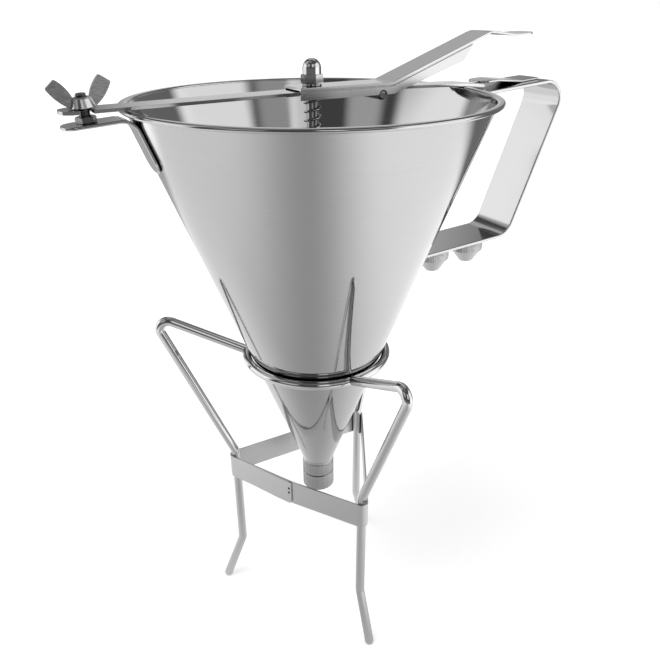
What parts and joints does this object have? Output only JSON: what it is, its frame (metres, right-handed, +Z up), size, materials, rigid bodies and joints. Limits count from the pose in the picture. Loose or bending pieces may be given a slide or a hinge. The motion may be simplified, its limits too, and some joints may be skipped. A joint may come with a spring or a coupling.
{
  "type": "batter dispenser",
  "caption": "Stainless funnel in a wire tripod stand; a thumb lever over the handle lifts a sprung rod and stopper to let batter run out of a screw-on nozzle.",
  "frame": {"origin": "on the floor, on the funnel's axis, in the middle of the stand's feet", "axes": "+Z up along the funnel's axis; +X from the axis to the handle; +Y to the far side of the crossbar"},
  "size_m": [0.2868, 0.1905, 0.3572],
  "materials": {
    "funnel_steel": "polished stainless sheet",
    "strap_steel": "satin stainless strip",
    "wire_steel": "bright drawn wire",
    "band_steel": "satin stainless strip",
    "turned_steel": "turned stainless",
    "fastener_steel": "bright stainless",
    "rod_steel": "ground stainless",
    "spring_steel": "bright spring wire"
  },
  "bodies": {
    "stand": {"stand_ring": "wire_steel", "stand_band": "band_steel", "stand_wire_rear": "wire_steel", "stand_wire_left": "wire_steel", "stand_wire_front": "wire_steel"},
    "funnel": {"funnel_shell": "funnel_steel", "outlet_socket": "turned_steel", "handle": "strap_steel", "bar_clip": "strap_steel", "bracket": "strap_steel", "bracket_stud": "fastener_steel", "jam_nut": "fastener_steel", "crossbar": "strap_steel", "pivot_pin": "fastener_steel", "return_spring": "spring_steel", "storage_stud_inner": "turned_steel", "storage_stud_outer": "turned_steel"},
    "lever": {"lever": "strap_steel"},
    "piston": {"piston_rod": "rod_steel", "cap_nut": "fastener_steel", "spring_collar": "rod_steel", "stopper": "rod_steel"},
    "wing_nut": {"wing_nut": "fastener_steel"},
    "nozzle": {"nozzle": "turned_steel"},
    "spare_nozzle_inner": {"spare_nozzle_inner": "turned_steel"},
    "spare_nozzle_outer": {"spare_nozzle_outer": "turned_steel"}
  },
  "joints": [
    {"name": "funnel_lift", "type": "slide", "parent": "stand", "child": "funnel", "axis": [0, 0, 1], "range_m": [0, 0.15]},
    {"name": "lever_press", "type": "hinge", "parent": "funnel", "child": "lever", "pos_m": [0.037, 0, 0.32837], "axis": [0, 1, 0], "range_deg": [0, 8], "stiffness_Nm_per_rad": 3.08, "springref_deg": -10.31},
    {"name": "rod_slide", "type": "slide", "parent": "funnel", "child": "piston", "axis": [0, 0, 1], "range_m": [0, 0.00596], "deforming": ["return_spring"]},
    {"name": "wing_nut_turn", "type": "hinge", "parent": "funnel", "child": "wing_nut", "pos_m": [-0.11115, 0, 0.33198], "axis": [-0.0698, 0, 0.9976], "continuous": true},
    {"name": "nozzle_off", "type": "slide", "parent": "funnel", "child": "nozzle", "axis": [0, 0, -1], "range_m": [0, 0.012]},
    {"name": "spare_nozzle_inner_off", "type": "slide", "parent": "funnel", "child": "spare_nozzle_inner", "axis": [0.0523, 0, -0.9986], "range_m": [0, 0.012]},
    {"name": "spare_nozzle_outer_off", "type": "slide", "parent": "funnel", "child": "spare_nozzle_outer", "axis": [0.0523, 0, -0.9986], "range_m": [0, 0.012]}
  ],
  "couplings": [
    {"joint": "rod_slide", "follows": "lever_press", "m_per_rad": 0.04264}
  ]
}
